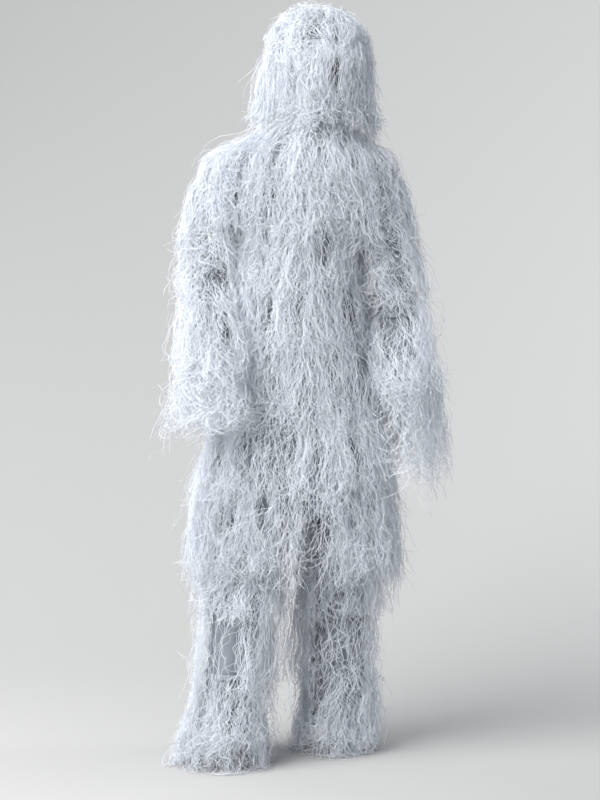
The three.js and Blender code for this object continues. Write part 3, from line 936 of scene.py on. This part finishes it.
def face_elastic():
    turn = np.linspace(0, TAU, 241)
    x = face_x + (face_wide + FACE_BINDING) * np.cos(turn)
    z = face_z + (face_tall + FACE_BINDING) * np.sin(turn)
    centre_x, centre_y, wide, deep = hood.place(np.full(turn.shape, FRONT), z)
    y = centre_y - deep * np.sqrt(1 - ((x - centre_x) / wide) ** 2) - 0.006
    path = np.stack([x, y, z], 1)
    outward = np.stack([np.cos(turn), 0 * turn, np.sin(turn)], 1)
    section = np.linspace(0, TAU, 10, endpoint=False)
    size = FACE_BINDING * (0.88 + 0.12 * np.sin(60 * turn))[:, None, None]
    forward = np.array([0, -1.0, 0])
    points = path[:, None] + size * (
        outward[:, None] * np.cos(section)[:, None] + forward * np.sin(section)[:, None]
    )
    piece = mesh_object("face_elastic", points.reshape(-1, 3), [grid_faces(241, 10, True)], ELASTIC)
    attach(piece, "hood")
    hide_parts("hood_face_elastic")


face_elastic()
band("veil_tape_strip", hood, 1.7195, 1.7105, 0.0022, "hood", ELASTIC, ("veil_tape",), where=facing(FRONT, 0.68))


# ---- Front opening: zip, slider and placket ----
def blocks(name, places, size, material, motion, bevel=0.0003):
    """Many small equal blocks as one piece."""
    corner = np.array([(x, y, z) for x in (-1, 1) for y in (-1, 1) for z in (-1, 1)]) * np.array(size) / 2
    sides = np.array([(0, 1, 3, 2), (4, 6, 7, 5), (0, 4, 5, 1), (2, 3, 7, 6), (0, 2, 6, 4), (1, 5, 7, 3)])
    points = (np.asarray(places)[:, None] + corner).reshape(-1, 3)
    faces = (8 * np.arange(len(places))[:, None, None] + sides).reshape(-1, 4)
    piece = mesh_object(name, points, [faces], material, smooth_faces=False)
    rounding = piece.modifiers.new("bevel", "BEVEL")
    rounding.width = bevel
    rounding.segments = 2
    return follow(piece, motion)


zip_low, zip_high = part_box("zip_chain")
zip_x = (zip_low.x + zip_high.x) / 2
zip_front = -trunk_rings[0, 4]
PITCH = 0.0030
teeth = [
    (zip_x + (0.0010 if n % 2 else -0.0010), zip_front - 0.0002, zip_high.z - 0.004 - n * PITCH / 2)
    for n in range(int((zip_high.z - zip_low.z - 0.006) / PITCH * 2))
]
zip_teeth = blocks("zip_teeth", teeth, (0.0032, 0.0018, 0.0012), ZIP, WAIST, 0.0002)
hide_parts("zip_chain")


def strip(name, surface, high, low, x0, x1, rise, motion, material, wave=0.0):
    """A narrow flat strip down the front, from one x to another. rise is its height at both edges."""
    z = (high + low) / 2
    centre, _, wide, _ = (float(v) for v in surface.place(np.array(FRONT), np.array(z)))
    angles = FRONT + np.arcsin((np.linspace(x0, x1, 9) - centre) / wide)
    t0, t1 = surface.t_at([high, low])
    rows = max(6, round((t1 - t0) / 0.008)) + 1
    down = np.linspace(0, 1, rows)[:, None]
    rises = np.linspace(*rise, 9)[None, :] + wave * np.sin(down * (t1 - t0) * 46) * np.linspace(1, 0.3, 9)[None, :]
    piece, flat, area = sheet_of(surface, angles, [high, low], rises, False, name, material)
    thicken(piece, 0.0014, 0)
    follow(piece, motion)
    flats[name] = (piece, flat, area)
    return piece


strip("zip_tape", trunk, 1.421, 1.064, zip_x - 0.0062, zip_x + 0.0062, (-0.0014, -0.0014), WAIST, LINING)
placket_low, placket_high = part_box("front_placket")
middle = (placket_low.x + placket_high.x) / 2
strip("placket_flap", trunk, placket_high.z, placket_low.z, placket_low.x, middle, (0.0068, 0.0082), WAIST,
              LINING, 0.0008)
outer = strip("placket_facing", trunk, placket_high.z, placket_low.z, middle, placket_high.x, (0.0082, 0.0006), WAIST,
              CLOTH)
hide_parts("front_placket")
strip("placket_flap_low", skirt, 1.062, 0.590, 0.017, 0.0325, (0.0030, 0.0050), skirt_motion(), LINING, 0.001)
strip("placket_facing_low", skirt, 1.062, 0.590, 0.0325, 0.048, (0.0050, 0.0012), skirt_motion(), CLOTH)

slider_low, slider_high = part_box("zip_slider")
across, deep = (slider_low.x + slider_high.x) / 2, (slider_low.y + slider_high.y) / 2
slider = blocks(
    "slider_body",
    [(across, slider_high.y - 0.0012, slider_high.z - 0.005)],
    (0.0088, 0.0024, 0.0098),
    ZIP,
    "zip",
    0.0009,
)
pull_z = (slider_high.z - 0.004 + slider_low.z) / 2
blocks(
    "slider_pull",
    [(across - 0.0023, deep - 0.0008, pull_z), (across + 0.0023, deep - 0.0008, pull_z)],
    (0.0014, 0.0016, slider_high.z - 0.004 - slider_low.z),
    ZIP,
    "zip",
    0.0005,
)
blocks(
    "slider_pull_ends",
    [(across, deep - 0.0008, slider_low.z + 0.0016), (across, deep - 0.0008, slider_high.z - 0.0056)],
    (0.0060, 0.0016, 0.0030),
    ZIP,
    "zip",
    0.0005,
)
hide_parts("zip_slider")

# ---- What stands for the CAD's shells of thread; each sheet's flat size is read here but not used ----
STANDS_FOR = {
    "yoke": ["neck_fringe", "yoke_fringe_front", "yoke_fringe_back"],
    "trunk": ["chest_fringe_front", "chest_fringe_back", "waist_fringe_front", "waist_fringe_back"],
    "skirt_left": ["skirt_fringe_left", "hip_fringe_front"],
    "skirt_right": ["skirt_fringe_right", "hip_fringe_back"],
    "hood": ["hood_crown_fringe", "hood_curtain_fringe"],
    "veil": ["face_veil"],
}
for side in ("left", "right"):
    STANDS_FOR[f"{side}_upper_sleeve"] = [f"{side}_sleeve_fringe_1", f"{side}_sleeve_fringe_2"]
    STANDS_FOR[f"{side}_forearm"] = [f"{side}_sleeve_fringe_3"]
    STANDS_FOR[f"{side}_leg"] = [f"{side}_knee_fringe", f"{side}_hem_fringe"]
for part, nodes in STANDS_FOR.items():
    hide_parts(*nodes)
for name, (piece, flat, area) in flats.items():
    width, length = flat

# ---- Studio ----
def see_through(material):
    """Makes a sheet show from its front side only, so that the suit can be seen past it from behind."""
    tree = material.node_tree
    side = add_node(tree, "ShaderNodeNewGeometry")
    clear = add_node(tree, "ShaderNodeBsdfTransparent")
    mix = add_node(tree, "ShaderNodeMixShader")
    tree.links.new(side.outputs["Backfacing"], mix.inputs["Fac"])
    tree.links.new(tree.nodes["Principled BSDF"].outputs["BSDF"], mix.inputs[1])
    tree.links.new(clear.outputs["BSDF"], mix.inputs[2])
    tree.links.new(mix.outputs["Shader"], tree.nodes["Material Output"].inputs["Surface"])


def studio():
    shade = bpy.data.materials.new("backdrop")
    shade.use_nodes = True
    shader = shade.node_tree.nodes["Principled BSDF"]
    shader.inputs["Base Color"].default_value = (0.445, 0.445, 0.445, 1)
    shader.inputs["Roughness"].default_value = 0.9
    see_through(shade)
    turn = np.linspace(0, math.pi / 2, 17)
    radius, back = 3.4, 1.0
    curve = [(back + radius * math.sin(a), radius * (1 - math.cos(a))) for a in turn]
    line = [(-8.0, 0.0)] + curve + [(back + radius, 6.0)]
    points = [(x, y, z) for y, z in line for x in (-7.0, 7.0)]
    faces = [(2 * i, 2 * i + 1, 2 * i + 3, 2 * i + 2) for i in range(len(line) - 1)]
    faces.append(tuple(range(len(points), len(points) + 4)))
    points += [(x, y, -0.004) for x, y in ((-30, -30), (30, -30), (30, 30), (-30, 30))]  # the floor beyond it
    mesh = bpy.data.meshes.new("backdrop")
    mesh.from_pydata(points, [], faces)
    mesh.polygons.foreach_set("use_smooth", [True] * len(faces))
    mesh.materials.append(shade)
    backdrop = bpy.data.objects.new("backdrop", mesh)
    bpy.context.scene.collection.objects.link(backdrop)
    backdrop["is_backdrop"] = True


def lamp(name, place, target, size, power, color=(1, 1, 1)):
    data = bpy.data.lights.new(name, "AREA")
    data.shape = "RECTANGLE"
    data.size, data.size_y = size
    data.energy = power
    data.color = color
    light = bpy.data.objects.new(name, data)
    light.location = place
    light.rotation_euler = (Vector(target) - Vector(place)).to_track_quat("-Z", "Y").to_euler()
    bpy.context.scene.collection.objects.link(light)
    return light


studio()
lamp("key", (-2.35, -1.95, 3.0), (0, 0, 1.4), (3.0, 3.0), 280, (1.0, 0.99, 0.97))
lamp("fill", (3.4, -3.4, 2.6), (0, 0, 0.8), (2.4, 2.4), 6)
lamp("back", (-3.0, 2.4, 2.0), (0, 0, 1.0), (2.0, 2.0), 20)
lamp("backdrop_light", (2.8, 0.8, 2.8), (1.4, 4.2, 1.4), (1.5, 1.5), 80)
world = bpy.data.worlds.new("studio")
world.use_nodes = True
world.node_tree.nodes["Background"].inputs["Color"].default_value = (0.93, 0.965, 1.0, 1)
world.node_tree.nodes["Background"].inputs["Strength"].default_value = 0.61
bpy.context.scene.world = world
bpy.context.scene.view_settings.view_transform = "Standard"

camera_data = bpy.data.cameras.new("camera")
camera_data.lens = 95.7
camera_data.sensor_width = 36
camera = bpy.data.objects.new("camera", camera_data)
camera.location = (0, -5.17, 1.2)
camera.rotation_euler = (Vector((0, 0, 0.862)) - camera.location).to_track_quat("-Z", "Y").to_euler()
bpy.context.scene.collection.objects.link(camera)
bpy.context.scene.camera = camera

low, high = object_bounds()
